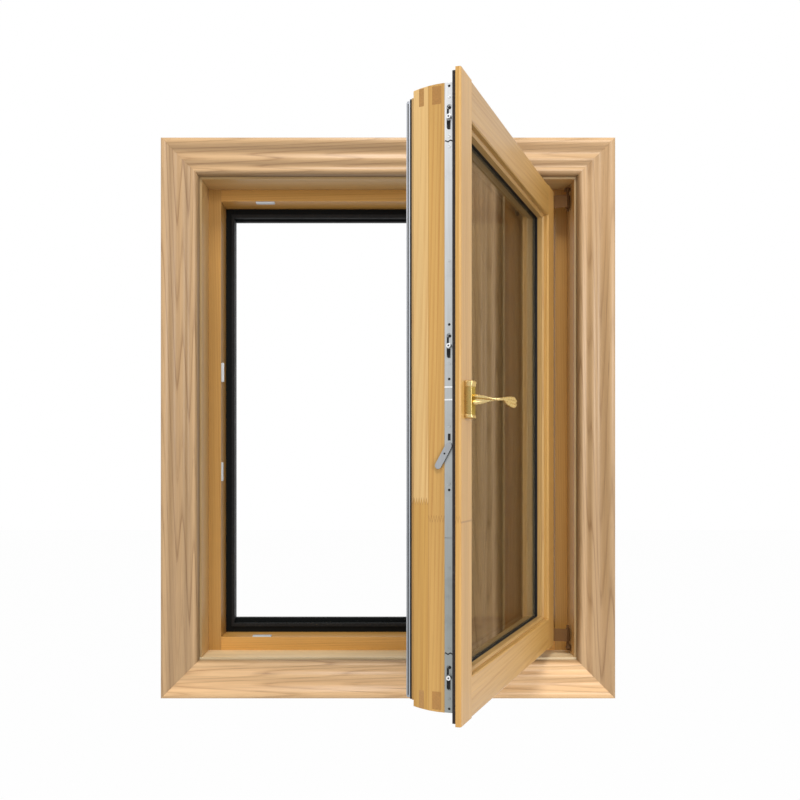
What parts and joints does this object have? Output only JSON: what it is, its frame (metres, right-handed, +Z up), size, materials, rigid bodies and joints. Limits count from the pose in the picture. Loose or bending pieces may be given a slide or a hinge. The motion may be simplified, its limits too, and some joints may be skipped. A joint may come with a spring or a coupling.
{
  "type": "tilt and turn window",
  "caption": "Wooden tilt-and-turn window with moulded casing, aluminium-clad sash turned open into the room, edge lock with cams, and a brass lever handle.",
  "frame": {"origin": "middle of the flat back of the bottom casing, where it bears on the wall", "axes": "+X right seen from the room, +Y from the room through the wall to the outside, +Z up"},
  "size_m": [1.068, 0.9506, 1.318],
  "materials": {
    "casing_wood": "clear satin on pale hardwood",
    "liner_wood": "clear satin on pale hardwood",
    "frame_wood": "clear satin on pine",
    "dark_aluminium": "dark powder coat",
    "black_seal": "matt rubber",
    "brown_seal": "matt rubber",
    "zinc_steel": "bright zinc",
    "bronze_steel": "bronze paint",
    "sash_wood": "clear satin on pine",
    "bead_wood": "clear satin on pine",
    "glass": "clear float glass",
    "spacer": "pale edge spacer",
    "silver_aluminium": "satin silver",
    "satin_brass": "satin brass"
  },
  "bodies": {
    "frame": {"casing_left": "casing_wood", "casing_right": "casing_wood", "casing_top": "casing_wood", "casing_bottom": "casing_wood", "liner_left": "liner_wood", "liner_right": "liner_wood", "liner_head": "liner_wood", "liner_sill": "liner_wood", "frame_jamb_lock": "frame_wood", "frame_jamb_hinge": "frame_wood", "frame_head": "frame_wood", "frame_sill": "frame_wood", "frame_cladding_lock": "dark_aluminium", "frame_cladding_hinge": "dark_aluminium", "frame_cladding_head": "dark_aluminium", "frame_cladding_sill": "dark_aluminium", "frame_seal": "black_seal", "strikers": "zinc_steel", "hinge_bearings": "bronze_steel"},
    "hinge_pivots": {"hinge_pivots": "bronze_steel"},
    "sash": {"sash_stile_lock": "sash_wood", "sash_stile_hinge": "sash_wood", "sash_rail_top": "sash_wood", "sash_rail_bottom": "sash_wood", "glazing_bead_left": "bead_wood", "glazing_bead_right": "bead_wood", "glazing_bead_top": "bead_wood", "glazing_bead_bottom": "bead_wood", "pane_inner": "glass", "pane_middle": "glass", "pane_outer": "glass", "sash_cladding_left": "silver_aluminium", "sash_cladding_right": "silver_aluminium", "sash_cladding_top": "silver_aluminium", "sash_cladding_bottom": "silver_aluminium", "pane_spacer": "spacer", "glazing_seal": "black_seal", "cladding_seal": "black_seal", "flange_seal": "brown_seal", "hinge_leaves": "bronze_steel", "lock_faceplate": "zinc_steel", "handle_rosette": "satin_brass"},
    "handle": {"handle_neck": "satin_brass", "handle_lever": "satin_brass"},
    "lock_rod": {"lock_rod": "zinc_steel"},
    "lift_lever": {"lift_lever": "zinc_steel"}
  },
  "joints": [
    {"name": "sash_tilt", "type": "hinge", "parent": "frame", "child": "hinge_pivots", "pos_m": [0.4335, 0.047, 0.071], "axis": [1, 0, 0], "range_deg": [0, 6.5]},
    {"name": "sash_turn", "type": "hinge", "parent": "hinge_pivots", "child": "sash", "pos_m": [0.4335, 0.047, 0.6], "axis": [0, 0, 1], "range_deg": [-70.5, 19.5]},
    {"name": "handle_turn", "type": "hinge", "parent": "sash", "child": "handle", "pos_m": [0.13139, -0.71326, 0.624], "axis": [0.9426, -0.3338, 0], "range_deg": [-90, 90]},
    {"name": "lock_slide", "type": "slide", "parent": "sash", "child": "lock_rod", "axis": [0, 0, 1], "range_m": [-0.016, 0.016]},
    {"name": "lift_lever_swing", "type": "hinge", "parent": "sash", "child": "lift_lever", "pos_m": [0.10206, -0.72091, 0.543], "axis": [-0.3338, -0.9426, 0], "range_deg": [0, 29]}
  ],
  "couplings": [
    {"joint": "lock_slide", "follows": "handle_turn", "m_per_rad": -0.010186}
  ]
}
